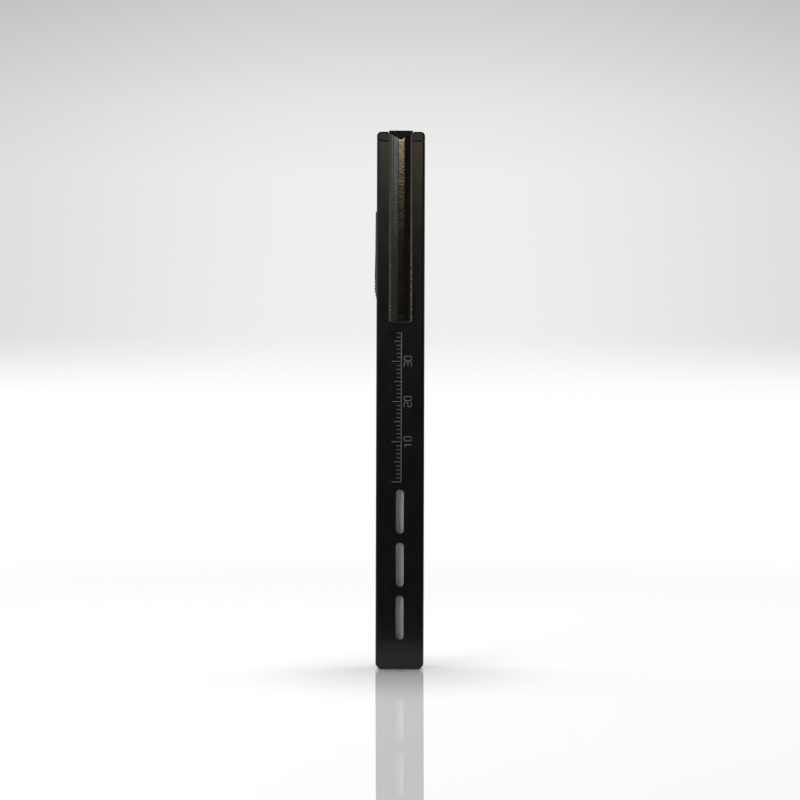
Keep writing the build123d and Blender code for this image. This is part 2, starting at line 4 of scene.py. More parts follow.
import bmesh
import bpy
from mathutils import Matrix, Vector


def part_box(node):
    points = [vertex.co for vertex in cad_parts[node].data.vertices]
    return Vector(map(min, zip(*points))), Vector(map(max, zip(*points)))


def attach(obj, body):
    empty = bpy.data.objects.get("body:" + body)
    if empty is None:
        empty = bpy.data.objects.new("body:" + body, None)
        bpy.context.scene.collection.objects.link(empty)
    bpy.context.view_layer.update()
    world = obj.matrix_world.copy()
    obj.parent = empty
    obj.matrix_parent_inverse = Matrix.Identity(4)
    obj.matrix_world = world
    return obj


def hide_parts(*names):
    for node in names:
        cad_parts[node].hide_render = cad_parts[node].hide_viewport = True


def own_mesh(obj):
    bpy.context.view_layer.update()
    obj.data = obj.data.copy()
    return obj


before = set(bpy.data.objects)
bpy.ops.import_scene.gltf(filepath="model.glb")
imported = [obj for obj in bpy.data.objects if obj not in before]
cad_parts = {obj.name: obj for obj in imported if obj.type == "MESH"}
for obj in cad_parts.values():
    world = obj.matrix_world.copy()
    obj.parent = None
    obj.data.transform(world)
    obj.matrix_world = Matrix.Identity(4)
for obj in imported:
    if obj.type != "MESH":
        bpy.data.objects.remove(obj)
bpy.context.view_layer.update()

MM = 0.001

# The photograph: its frame and the scale it shows the front of the casing at
FRAME_PIXELS = 800
MM_PER_PIXEL = 0.2486
MID_PIXEL_X = 400.25
BASE_PIXEL_Y = 669.45

front_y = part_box("barrel")[0].y


def pixel_z(row):
    """Height above the floor of a pixel row, on the casing's front."""
    return (BASE_PIXEL_Y - row) * MM_PER_PIXEL * MM


def pixel_x(column):
    """Sideways place of a pixel column, on the casing's front."""
    return (column - MID_PIXEL_X) * MM_PER_PIXEL * MM


# Small builders for node trees

# Places of the colour sockets on a Mix node
MIX_FIRST, MIX_SECOND, MIX_RESULT = 6, 7, 2


class Nodes:
    """A node tree under construction, with helpers that add nodes to it."""

    def __init__(self, tree):
        self.tree = tree
        self.tree.nodes.clear()

    def add(self, kind):
        return self.tree.nodes.new("ShaderNode" + kind)

    def link(self, source, target):
        self.tree.links.new(source, target)

    def put(self, socket, value):
        """Links a node's output to a socket, or sets the socket's own value."""
        if isinstance(value, bpy.types.NodeSocket):
            self.link(value, socket)
        else:
            socket.default_value = value

    def axes(self, vector):
        node = self.add("SeparateXYZ")
        self.link(vector, node.inputs[0])
        return node.outputs["X"], node.outputs["Y"], node.outputs["Z"]

    def length(self, vector):
        node = self.add("VectorMath")
        node.operation = "LENGTH"
        self.link(vector, node.inputs[0])
        return node.outputs["Value"]

    def ramp(self, value, low, high, start=0.0, end=1.0, smooth=True):
        """Maps value from start..end to low..high, clamped."""
        node = self.add("MapRange")
        node.interpolation_type = "SMOOTHSTEP" if smooth else "LINEAR"
        self.put(node.inputs["Value"], value)
        for name, number in (("From Min", start), ("From Max", end), ("To Min", low), ("To Max", high)):
            self.put(node.inputs[name], number)
        return node.outputs["Result"]

    def mask(self, value, start, end):
        """0 where value is below start, rising to 1 at end."""
        return self.ramp(value, 0.0, 1.0, start, end)

    def math(self, operation, first, second=0.0):
        node = self.add("Math")
        node.operation = operation
        self.put(node.inputs[0], first)
        self.put(node.inputs[1], second)
        return node.outputs["Value"]

    def product(self, first, second):
        return self.math("MULTIPLY", first, second)

    def plus(self, value, mask, amount):
        """value, with amount added where the mask is 1."""
        return self.math("ADD", value, self.product(mask, amount))

    def distance(self, value, centre):
        """How far value lies from centre, on either side."""
        return self.math("ABSOLUTE", self.math("SUBTRACT", value, centre))

    def mix(self, share, first, second):
        """A colour between first and second, each a socket or three numbers."""
        node = self.add("Mix")
        node.data_type = "RGBA"
        self.put(node.inputs["Factor"], share)
        for index, colour in ((MIX_FIRST, first), (MIX_SECOND, second)):
            is_socket = isinstance(colour, bpy.types.NodeSocket)
            self.put(node.inputs[index], colour if is_socket else (*colour, 1.0))
        return node.outputs[MIX_RESULT]

    def blend(self, share, first, second):
        """A shader between first and second."""
        node = self.add("MixShader")
        self.put(node.inputs[0], share)
        self.link(first, node.inputs[1])
        self.link(second, node.inputs[2])
        return node.outputs[0]


# Edges show where a bevelled normal leans away from the real one; the cosines between the two
BEVEL_SAMPLES = 4
SHARP_COSINE, FLAT_COSINE = 0.80, 0.985


class Paint(Nodes):
    """A material with a Principled shader, patterned in the coordinates of the object that wears it."""

    def __init__(self, name):
        self.material = bpy.data.materials.new(name)
        self.material.use_nodes = True
        super().__init__(self.material.node_tree)
        self.shader = self.add("BsdfPrincipled")
        self.link(self.shader.outputs["BSDF"], self.add("OutputMaterial").inputs["Surface"])
        self.place = self.add("TexCoord").outputs["Object"]

    def set(self, **values):
        """Sets sockets of the shader, their names written with _ for a space."""
        for key, value in values.items():
            self.put(self.shader.inputs[key.replace("_", " ")], value)

    def stretched(self, scale):
        """The object's coordinates times a scale along each axis."""
        node = self.add("Mapping")
        self.link(self.place, node.inputs["Vector"])
        node.inputs["Scale"].default_value = scale
        return node.outputs["Vector"]

    def noise(self, size, detail=2.0, roughness=0.5, stretch=(1, 1, 1), distortion=0.0):
        """Soft noise whose features are about size metres wide; more than 1 in stretch lengthens them."""
        node = self.add("TexNoise")
        self.link(self.stretched([1 / (size * s) for s in stretch]), node.inputs["Vector"])
        node.inputs["Scale"].default_value = 1.0
        node.inputs["Detail"].default_value = detail
        node.inputs["Roughness"].default_value = roughness
        node.inputs["Distortion"].default_value = distortion
        return node.outputs["Fac"]

    def cells(self, size):
        """Smooth distance from the points of a cell pattern whose cells are about size metres wide."""
        node = self.add("TexVoronoi")
        node.feature = "SMOOTH_F1"
        self.link(self.stretched([1 / size] * 3), node.inputs["Vector"])
        node.inputs["Scale"].default_value = 1.0
        return node.outputs["Distance"]

    def edges(self, radius):
        """1 on edges sharper than radius, 0 on flat and gently curved faces."""
        bevel = self.add("Bevel")
        bevel.samples = BEVEL_SAMPLES
        bevel.inputs["Radius"].default_value = radius
        product = self.add("VectorMath")
        product.operation = "DOT_PRODUCT"
        self.link(bevel.outputs["Normal"], product.inputs[0])
        self.link(self.add("NewGeometry").outputs["Normal"], product.inputs[1])
        return self.ramp(product.outputs["Value"], 1.0, 0.0, SHARP_COSINE, FLAT_COSINE)

    def bump(self, *layers):
        """Stacks bump layers, each a height from 0 to 1 and its depth in metres, coarsest first."""
        normal = None
        for height, depth in layers:
            node = self.add("Bump")
            node.inputs["Strength"].default_value = 1.0
            node.inputs["Distance"].default_value = depth
            self.link(height, node.inputs["Height"])
            if normal is not None:
                self.link(normal, node.inputs["Normal"])
            normal = node.outputs["Normal"]
        self.link(normal, self.shader.inputs["Normal"])


def times(colour, factor):
    """A colour made lighter or darker by a factor, at most white."""
    return [min(1.0, c * factor) for c in colour]


# Materials

# The range that most of a noise's values lie in
NOISE_MIDDLE = (0.3, 0.7)


def moulded_plastic(name, colour, roughness, grain=0.14 * MM, grain_depth=0.003 * MM, specular=0.5):
    """Injection-moulded plastic: grain, flow mottling, hairline rubs, worn edges and a little dust."""
    paint = Paint(name)
    mottle = paint.noise(2.2 * MM, detail=3, stretch=(1, 1, 3))
    base = paint.mix(mottle, times(colour, 0.72), times(colour, 1.35))
    speck = paint.mask(paint.noise(0.09 * MM, detail=1), 0.70, 0.78)
    base = paint.mix(paint.product(speck, 0.35), base, times(colour, 3.0))
    rub = paint.mask(paint.noise(0.35 * MM, detail=2, stretch=(0.5, 0.5, 22)), 0.60, 0.74)
    rough = paint.ramp(mottle, roughness - 0.02, roughness + 0.02, *NOISE_MIDDLE)
    rough = paint.plus(rough, rub, -0.02)
    patches = paint.ramp(paint.noise(1.3 * MM, detail=4), 0.15, 1.0, 0.4, 0.6)
    worn = paint.product(paint.edges(0.16 * MM), patches)
    base = paint.mix(paint.product(worn, 0.6), base, times(colour, 2.4))
    rough = paint.plus(rough, worn, -0.06)
    paint.set(Base_Color=base, Roughness=rough, Specular_IOR_Level=specular)
    paint.bump(
        (paint.noise(3.5 * MM, detail=1), 0.012 * MM),
        (paint.cells(grain), grain_depth),
        (paint.noise(grain * 0.45, detail=2), grain_depth * 0.4),
    )
    return paint.material


# Light flecks along a line on each brim, fainter towards the top, fewer on the left: partly chips in the
# clip's lacquer, partly painted glints
CHIP_GLINT_LINE = 2.62 * MM
CHIP_GLINT_WIDTH = 0.44 * MM
CHIP_GLINT_LOW_Z = 92.0 * MM
CHIP_GLINT_HIGH_Z = 116.0 * MM
CHIP_GLINT_AT_TOP = 0.45
CHIP_GLINT_LEFT, CHIP_GLINT_RIGHT = -0.11, 0.03
CHIP_AND_GLINT_COLOUR = (0.30, 0.265, 0.21)
FLAKE_COLOUR = (0.050, 0.044, 0.035)


def coated_steel(name, colour):
    """Black lacquer over sheet steel: orange peel, fine flakes, handling marks, and brims with chips and
    painted glints.
    """
    paint = Paint(name)
    flake = paint.mask(paint.noise(0.11 * MM, detail=2, roughness=0.7), 0.60, 0.72)
    cloud = paint.noise(1.6 * MM, detail=3, stretch=(1, 1, 2.5))
    base = paint.mix(cloud, times(colour, 0.7), times(colour, 1.4))
    base = paint.mix(paint.product(flake, 0.35), base, FLAKE_COLOUR)
    scratch = paint.mask(paint.noise(0.16 * MM, detail=2, stretch=(0.6, 0.6, 40)), 0.64, 0.76)
    rough = paint.plus(paint.ramp(cloud, 0.09, 0.12, *NOISE_MIDDLE), scratch, 0.06)
    rough = paint.plus(rough, flake, 0.08)
    across, _, up = paint.axes(paint.place)
    from_chip_line = paint.distance(paint.math("ABSOLUTE", across), CHIP_GLINT_LINE)
    on_brim = paint.ramp(from_chip_line, 1.0, 0.0, CHIP_GLINT_WIDTH / 4, CHIP_GLINT_WIDTH / 2)
    lower = paint.ramp(up, 1.0, CHIP_GLINT_AT_TOP, CHIP_GLINT_LOW_Z, CHIP_GLINT_HIGH_Z)
    more = paint.ramp(across, CHIP_GLINT_LEFT, CHIP_GLINT_RIGHT, -CHIP_GLINT_LINE, CHIP_GLINT_LINE, smooth=False)
    # Warm light flecks on the brims: partly lacquer chips, partly painted glints, more on the right and
    # lower down
    chips_and_glints = paint.math("ADD", paint.noise(0.40 * MM, detail=1), more)
    chips_and_glints = paint.product(paint.mask(chips_and_glints, 0.54, 0.60), paint.product(on_brim, lower))
    base = paint.mix(chips_and_glints, base, CHIP_AND_GLINT_COLOUR)
    rough = paint.plus(rough, chips_and_glints, 0.20)
    paint.set(Base_Color=base, Roughness=rough, IOR=1.62, Specular_IOR_Level=0.80)
    paint.set(Specular_Tint=(1.0, 0.89, 0.75, 1), Coat_Weight=0.15, Coat_Roughness=0.08)
    paint.bump(
        (paint.noise(1.8 * MM, detail=1, stretch=(1, 1, 2)), 0.030 * MM),
        (paint.noise(0.40 * MM, detail=1), 0.013 * MM),
        (paint.noise(0.10 * MM, detail=1), 0.0015 * MM),
    )
    return paint.material


def bright_steel(name):
    """Bright rolled spring steel with lengthwise brushing."""
    paint = Paint(name)
    brush = paint.noise(0.05 * MM, detail=3, stretch=(1, 1, 45))
    base = paint.mix(brush, (0.42, 0.42, 0.41), (0.66, 0.66, 0.65))
    paint.set(Base_Color=base, Metallic=1.0, Roughness=paint.ramp(brush, 0.22, 0.42))
    paint.bump((brush, 0.0015 * MM))
    return paint.material


# Heights between which the smudges on the eraser's working end fade out
SMUDGE_FULL_TO = 0.5 * MM
SMUDGE_GONE_AT = 3.2 * MM


def eraser_vinyl(name, colour):
    """Matt vinyl: a powdery grain, soft mottling, dust marks, and graphite smudges near the working end."""
    paint = Paint(name)
    mottle = paint.noise(1.2 * MM, detail=4)
    base = paint.mix(mottle, times(colour, 0.90), times(colour, 1.06))
    near_tip = paint.ramp(paint.axes(paint.place)[2], 1.0, 0.0, SMUDGE_FULL_TO, SMUDGE_GONE_AT)
    smudge = paint.mask(paint.noise(0.9 * MM, detail=4, distortion=0.6), 0.42, 0.66)
    base = paint.mix(paint.product(near_tip, smudge), base, times(colour, 0.35))
    dust = paint.ramp(paint.noise(0.2 * MM, detail=2), 0.0, 0.5, 0.66, 0.76)
    base = paint.mix(dust, base, times(colour, 0.72))
    paint.set(Base_Color=base, Roughness=paint.ramp(mottle, 0.62, 0.80), Specular_IOR_Level=0.35)
    paint.set(Subsurface_Weight=0.12, Subsurface_Radius=(1.0, 0.95, 0.9), Subsurface_Scale=0.6 * MM)
    paint.bump(
        (paint.noise(0.8 * MM, detail=2), 0.010 * MM),
        (paint.noise(0.07 * MM, detail=2), 0.004 * MM),
    )
    return paint.material


def print_ink(name, colour):
    """Pad-printed silver-grey ink: slightly uneven cover, thinner in places."""
    paint = Paint(name)
    cover = paint.noise(0.35 * MM, detail=4, roughness=0.7)
    thin = paint.ramp(paint.noise(0.12 * MM, detail=2), 0.0, 0.6, 0.60, 0.75)
    base = paint.mix(cover, times(colour, 0.82), times(colour, 1.12))
    base = paint.mix(thin, base, times(colour, 0.45))
    paint.set(Base_Color=base, Roughness=paint.ramp(cover, 0.40, 0.58), Metallic=0.0)
    paint.bump((cover, 0.0015 * MM))
    return paint.material


acetal_grain = {"grain": 0.2 * MM, "grain_depth": 0.0015 * MM}

casing = moulded_plastic("casing_black", (0.0080, 0.0092, 0.0100), 0.22, specular=0.23)
cap = moulded_plastic("cap_black", (0.0092, 0.0100, 0.0096), 0.30, specular=0.18)
slider = moulded_plastic("slider_black", (0.0080, 0.0091, 0.0099), 0.23, grain=0.11 * MM, specular=0.23)
inner = moulded_plastic("inner_grey", (0.030, 0.030, 0.031), 0.50)
acetal = moulded_plastic("acetal_grey", (0.050, 0.052, 0.055), 0.36, **acetal_grain)
rack = moulded_plastic("rack_grey", (0.034, 0.034, 0.035), 0.38, **acetal_grain)
lacquer = coated_steel("clip_lacquer", (0.0070, 0.0066, 0.0058))
steel = bright_steel("spring_steel")
# The eraser's grey is darker than its real white: partly painted shade, for the shade it sits in behind the
# windows
vinyl = eraser_vinyl("eraser_vinyl", (0.76, 0.763, 0.76))
ink = print_ink("scale_ink", (0.125, 0.132, 0.138))

finishes = {
    "barrel": casing,
    "mouth_guide": inner,
    "front_rack": rack,
    "rear_rack": rack,
    "tail_cap": cap,
    "inner_plug": inner,
    "pocket_clip": lacquer,
    "carriage": acetal,
    "grip_claw": steel,
    "leaf_spring": steel,
    "thumb_slider": slider,
    "pawl_plate": acetal,
    "eraser": vinyl,
}
for node, material in finishes.items():
    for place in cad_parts[node].material_slots:
        place.material = material


# Mesh helpers

def new_piece(name, vertices, faces, material, body, slot=None, weld=0.0):
    """A smooth mesh piece that rides on a body, its vertices nearer than weld joined."""
    mesh = bpy.data.meshes.new(name)
    mesh.from_pydata(vertices, [], faces)
    mesh.validate()
    work = bmesh.new()
    work.from_mesh(mesh)
    if weld:
        bmesh.ops.remove_doubles(work, verts=work.verts, dist=weld)
    bmesh.ops.recalc_face_normals(work, faces=work.faces)
    work.to_mesh(mesh)
    work.free()
    mesh.polygons.foreach_set("use_smooth", [True] * len(mesh.polygons))
    mesh.materials.append(material)
    piece = bpy.data.objects.new(name, mesh)
    bpy.context.scene.collection.objects.link(piece)
    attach(piece, body)
    return piece


def spread(low, high, count):
    """The ends of count even steps from low to high, both ends included."""
    return [low + (high - low) * i / count for i in range(count + 1)]


def smooth_step(value, start, end):
    """0 up to start and 1 from end on, eased between them."""
    t = min(1.0, max(0.0, (value - start) / (end - start)))
    return t * t * (3 - 2 * t)


# The pocket clip: a domed arm between bevelled brims, a facet at its bend, the strap and the tongue

clip_low, clip_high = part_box("pocket_clip")
CLIP_SHEET = 0.5 * MM
CLIP_DOME_RISE = 0.9 * MM
CLIP_DOME_RADIUS = 3.55 * MM
CLIP_CREASE_FROM = 1.92 * MM
CLIP_CREASE_TO = 2.18 * MM
CLIP_CREASE_SLOPE = 0.40
CLIP_BRIM_TO = 2.40 * MM
CLIP_BRIM_SLOPE = 0.80
CLIP_EDGE = 0.05 * MM
CLIP_FACET_DROP = 2.0 * MM
CLIP_FACET_SOFTNESS = 0.07 * MM
CLIP_FACET_THICKENING = 1.15
CLIP_END_BOW = 0.30 * MM
CLIP_END_CORNER = 0.5 * MM
CLIP_END_CORNER_SHARE = 0.96
CLIP_END_RIM = 0.26 * MM
CLIP_END_RUN = 0.24 * MM
CLIP_END_EDGE = 0.16 * MM
CLIP_END_THINNEST = 0.02
CLIP_STRAP_CORNER = 0.25 * MM
CLIP_STRAP_ROUNDING = 0.08 * MM
CLIP_STRAP_FROM = 0.14 * MM
CLIP_STRAP_BEND = 0.6 * MM
DISH_RADIUS = 1.0 * MM
DISH_WALL = 0.70 * MM
DISH_DEPTH = 0.025 * MM
DISH_ABOVE_END = 2.1 * MM
TONGUE_HALF_WIDTH = 2.0 * MM
TONGUE_LENGTH = 7.0 * MM
TONGUE_FRONT_TO_FACE = 3.35 * MM
TONGUE_HOLE_HALF_WIDTH = 1.1 * MM
TONGUE_HOLE_LOW = 1.2 * MM
TONGUE_HOLE_HIGH = 3.0 * MM

# How finely the clip is divided: across, round its edges, and loop by loop from its end to its tongue
CROWN_HALF_WIDTH = 1.1 * MM
SHOULDER_TO = 1.65 * MM
CROWN_STEPS = 88
SHOULDER_STEPS = 8
BRIM_STEPS = 30
ARC_STEPS = 8
PROFILE_STEPS = 80
END_STEPS = 5
BELOW_DISH_STEPS = 14
DISH_STEPS = 92
ABOVE_DISH_STEPS = 48
FACET_STEPS = 20
STRAP_STEPS = 8
BEND_STEPS = 8
DISH_MARGIN = 0.3 * MM
FACET_TOP_GAP = 0.1 * MM
HOLE_MARGIN = 0.01 * MM
WELD = 0.0005 * MM

clip_half = (clip_high.x - clip_low.x) / 2
brim_y = clip_low.y + CLIP_DOME_RISE
facet_rate = CLIP_FACET_DROP / (front_y - clip_low.y)
facet_low_z = clip_high.z - CLIP_FACET_DROP
strap_under_z = clip_high.z - CLIP_SHEET
tongue_back_y = front_y + TONGUE_FRONT_TO_FACE + CLIP_SHEET
tongue_low_z = clip_high.z - TONGUE_LENGTH


def arm_slope(x):
    """How steeply the arm's outer face falls back at a distance x from its middle line."""
    on_dome = min(x, CLIP_CREASE_TO)
    dome = on_dome / math.sqrt(CLIP_DOME_RADIUS ** 2 - on_dome ** 2)
    crease = smooth_step(x, CLIP_CREASE_FROM, CLIP_CREASE_TO)
    brim = smooth_step(x, CLIP_CREASE_TO, CLIP_BRIM_TO)
    return dome + (CLIP_CREASE_SLOPE - dome) * crease + (CLIP_BRIM_SLOPE - CLIP_CREASE_SLOPE) * brim


@functools.lru_cache(maxsize=None)
def arm_drop(x):
    """How far the arm's outer face lies behind its crown at x."""
    step = abs(x) / PROFILE_STEPS
    return sum(arm_slope(step * (i + 0.5)) for i in range(PROFILE_STEPS)) * step


def dish_depth(x, z):
    """How far the shallow dish near the clip's end sinks the arm at x and z."""
    from_middle = math.hypot(x, z - clip_low.z - DISH_ABOVE_END)
    return DISH_DEPTH * (1 - smooth_step(from_middle, DISH_RADIUS - DISH_WALL, DISH_RADIUS))


def clip_end_z(x):
    """Height of the clip's lower edge: bowed, with rounded corners."""
    bow = CLIP_END_BOW * (x / clip_half) ** 2
    past = max(0.0, abs(x) - (clip_half - CLIP_END_CORNER))
    past = min(past, CLIP_END_CORNER * CLIP_END_CORNER_SHARE)
    corner = CLIP_END_CORNER - math.sqrt(CLIP_END_CORNER ** 2 - past ** 2)
    return clip_low.z + bow + corner


def arm_faces(x, z):
    """Depths of the arm's outer and inner face at x and z, below the facet."""
    closing = smooth_step(z - clip_end_z(x), CLIP_END_RIM, CLIP_END_RIM + CLIP_END_RUN)
    drop = arm_drop(x)
    rise = max(0.0, CLIP_DOME_RISE - drop) * closing
    fall = max(0.0, drop - CLIP_DOME_RISE)
    dish = dish_depth(x, z)
    return brim_y - rise + fall + dish, brim_y - rise + CLIP_SHEET + dish


def soft_max(first, second, softness):
    """The larger of two numbers, with the corner between them rounded off."""
    gap = first - second
    return (first + second + math.sqrt(gap * gap + softness * softness)) / 2


def clip_columns():
    """Places across the clip, closer together at the creases and the brims."""
    crown = spread(-CROWN_HALF_WIDTH, CROWN_HALF_WIDTH, CROWN_STEPS)
    side = spread(CROWN_HALF_WIDTH, SHOULDER_TO, SHOULDER_STEPS)[1:]
    side += spread(SHOULDER_TO, clip_half - CLIP_EDGE, BRIM_STEPS)[1:]
    return [-x for x in reversed(side)] + crown + side


columns = clip_columns()


def loop_round(outer, inner, half):
    """A closed loop round the sheet: outer face, rounded edge, inner face, rounded edge."""
    width = half / clip_half
    places = [x * width for x in columns]
    loop = [outer(x) for x in places]
    for side, x in ((1, places[-1]), (-1, places[0])):
        top, bottom = Vector(outer(x)), Vector(inner(x))
        middle, arm = (top + bottom) / 2, (top - bottom) / 2
        arc = []
        for step in range(1, ARC_STEPS):
            angle = math.pi * step / ARC_STEPS
            reach = Vector(((half - abs(x)) * math.sin(angle) * side, 0, 0))
            arc.append(middle + arm * math.cos(angle) + reach)
        if side == 1:
            loop += arc + [inner(x) for x in reversed(places)]
        else:
            loop += list(reversed(arc))
    return [tuple(point) for point in loop]


def opposite(column):
    """Index in a loop of the inner face's vertex behind a column of the outer face."""
    return 2 * len(columns) + ARC_STEPS - 2 - column


def arm_loop(share, thickness=1.0, drop=0.0):
    """A loop of the arm, share of the way from its lower end to the facet."""

    def height(x):
        low = clip_end_z(x) + CLIP_END_EDGE
        return low + (facet_low_z - low) * share - drop

    def face(x, side):
        z = height(x)
        front, back = arm_faces(x, z)
        middle = (front + back) / 2
        return x, middle + side * thickness * (back - front) / 2, z

    return loop_round(lambda x: face(x, -1), lambda x: face(x, 1), clip_half)


def past_strap_corner(x):
    """0 on the middle of the strap, rising to 1 at its two edges."""
    return smooth_step(abs(x), clip_half - CLIP_STRAP_CORNER, clip_half)


def facet_loop(z):
    """A loop of the bend's sloping facet, which cuts across the dome."""
    facet_y = clip_low.y + (z - facet_low_z) / facet_rate

    def outer(x):
        front = arm_faces(x, z)[0]
        lower = CLIP_STRAP_ROUNDING * past_strap_corner(x) * smooth_step(z, facet_low_z, clip_high.z)
        return x, min(soft_max(front, facet_y, CLIP_FACET_SOFTNESS), front_y), z - lower

    def inner(x):
        back = max(arm_faces(x, z)[1], facet_y + CLIP_SHEET * CLIP_FACET_THICKENING)
        return x, min(back, front_y + CLIP_SHEET), min(z, strap_under_z)

    return loop_round(outer, inner, clip_half)


def strap_loop(y, rounding):
    """A loop of the strap, whose top rounds off towards its two edges."""

    def outer(x):
        return x, y, clip_high.z - rounding * past_strap_corner(x)

    return loop_round(outer, lambda x: (x, max(y, front_y + CLIP_SHEET), strap_under_z), clip_half)


def flat_loop(outer_point, inner_point, half):
    """A loop of the bend behind the strap or of the tongue, which are flat across."""
    return loop_round(lambda x: (x, *outer_point), lambda x: (x, *inner_point), half)


def clip_loops():
    """All loops of the clip in order, from the arm's lower end to the tongue's, and the tongue's first."""
    loops = []
    for step in range(END_STEPS):
        angle = math.pi / 2 * (1 - step / END_STEPS)
        thickness = max(CLIP_END_THINNEST, math.cos(angle))
        loops.append(arm_loop(0.0, thickness, CLIP_END_EDGE * math.sin(angle)))
    arm = facet_low_z - clip_low.z
    dish_low = (DISH_ABOVE_END - DISH_RADIUS - DISH_MARGIN) / arm
    dish_high = (DISH_ABOVE_END + DISH_RADIUS) / arm
    shares = spread(0.0, dish_low, BELOW_DISH_STEPS)
    shares += spread(dish_low, dish_high, DISH_STEPS)[1:]
    shares += spread(dish_high, 1.0, ABOVE_DISH_STEPS)[1:]
    loops += [arm_loop(share) for share in shares]
    loops += [facet_loop(z) for z in spread(facet_low_z, clip_high.z - FACET_TOP_GAP, FACET_STEPS)[1:]]
    bend_y, bend_z = tongue_back_y - CLIP_STRAP_BEND, clip_high.z - CLIP_STRAP_BEND
    for step, y in enumerate(spread(front_y + CLIP_STRAP_FROM, bend_y, STRAP_STEPS)):
        loops.append(strap_loop(y, CLIP_STRAP_ROUNDING * (1 - step / STRAP_STEPS)))
    inside = CLIP_STRAP_BEND - CLIP_SHEET
    for step in range(1, BEND_STEPS + 1):
        angle = math.pi / 2 * step / BEND_STEPS
        across, up = math.sin(angle), math.cos(angle)
        narrowing = smooth_step(step, BEND_STEPS / 2, BEND_STEPS)
        half = clip_half + (TONGUE_HALF_WIDTH - clip_half) * narrowing
        outer_point = (bend_y + CLIP_STRAP_BEND * across, bend_z + CLIP_STRAP_BEND * up)
        inner_point = (bend_y + inside * across, bend_z + inside * up)
        loops.append(flat_loop(outer_point, inner_point, half))
    tongue_start = len(loops)
    for above in (TONGUE_HOLE_HIGH, TONGUE_HOLE_LOW, 0.0):
        z = tongue_low_z + above
        loops.append(flat_loop((tongue_back_y, z), (tongue_back_y - CLIP_SHEET, z), TONGUE_HALF_WIDTH))
    return loops, tongue_start


def through_sheet(row, first, last):
    """Faces through the sheet between two columns, in the loop whose vertices start at row."""
    return [(row + i, row + i + 1, row + opposite(i + 1), row + opposite(i)) for i in range(first, last)]


def make_clip():
    """The clip as one closed shell: its loops joined, its two ends closed, and the tongue's hole cut."""
    loops, tongue_start = clip_loops()
    count = len(loops[0])
    reach = TONGUE_HOLE_HALF_WIDTH * clip_half / TONGUE_HALF_WIDTH
    hole = [i for i, x in enumerate(columns) if abs(x) < reach + HOLE_MARGIN]
    first, last = hole[0], hole[-1]
    skipped = {i for i in range(first, last)} | {opposite(i + 1) for i in range(first, last)}
    faces = []
    for row in range(len(loops) - 1):
        here, there = row * count, (row + 1) * count
        for i in range(count):
            if row == tongue_start and i in skipped:
                continue
            j = (i + 1) % count
            faces.append((here + i, here + j, there + j, there + i))
    top, bottom = tongue_start * count, (tongue_start + 1) * count
    for i in (first, last):
        faces.append((top + i, top + opposite(i), bottom + opposite(i), bottom + i))
    for row in (top, bottom):
        faces += through_sheet(row, first, last)
    for row in (0, (len(loops) - 1) * count):
        faces += through_sheet(row, 0, len(columns) - 1)
        for ring_start in (len(columns) - 1, count - ARC_STEPS):
            faces.append(tuple(row + (ring_start + k) % count for k in range(ARC_STEPS + 1)))
    vertices = [point for loop in loops for point in loop]
    clip = new_piece("clip_shell", vertices, faces, lacquer, "clip", "clip_metal", weld=WELD)
    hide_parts("pocket_clip")


make_clip()


# The leaf spring behind the thumb slider: the imported strip


def make_spring():
    """The bowed strip, copied with its own mesh and steel finish, riding on the carriage."""
    strip = bpy.data.objects.new("spring_strip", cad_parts["leaf_spring"].data.copy())
    strip.data.materials.clear()
    strip.data.materials.append(steel)
    bpy.context.scene.collection.objects.link(strip)
    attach(strip, "carriage")
    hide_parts("leaf_spring")
    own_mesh(strip)


make_spring()


# The print: a plain millimetre scale with its tens, in thin raised ink

PRINT_TOP_ROW, PRINT_BOTTOM_ROW = 333.0, 482.0
SPINE_COLUMN = 401.3
INK_PROUD = 0.012 * MM
INK_SUNK = 0.01 * MM
INK_SHOULDER_SHARE = 0.6
INK_TOP_SHARE = 0.86
INK_LINE = 0.20 * MM
INK_END_STEPS = 6
SPINE_LINE = INK_LINE * 1.1
SPINE_PAST_END = 0.1 * MM
TICK_LONG = 2.3 * MM
TICK_MIDDLE = 1.7 * MM
TICK_SHORT = 1.1 * MM
TICK_TO_SPINE = INK_LINE * 0.7
DIGIT_LINE = 0.24 * MM
DIGIT_WIDTH = 1.05 * MM
DIGIT_HEIGHT = 1.75 * MM
DIGIT_GAP = 0.44 * MM
SPINE_TO_DIGIT = 0.75 * MM

# The digits' strokes, on a grid 1 wide and 2 high
DIGIT_STROKES = {
    "0": [((0, 0), (0, 2)), ((0, 2), (1, 2)), ((1, 2), (1, 0)), ((1, 0), (0, 0))],
    "1": [((0.5, 0), (0.5, 2)), ((0.1, 1.6), (0.5, 2))],
    "2": [((0, 2), (1, 2)), ((1, 2), (1, 1)), ((1, 1), (0, 1)), ((0, 1), (0, 0)), ((0, 0), (1, 0))],
    "3": [((0, 2), (1, 2)), ((1, 2), (1, 0)), ((1, 0), (0, 0)), ((0.2, 1), (1, 1))],
}


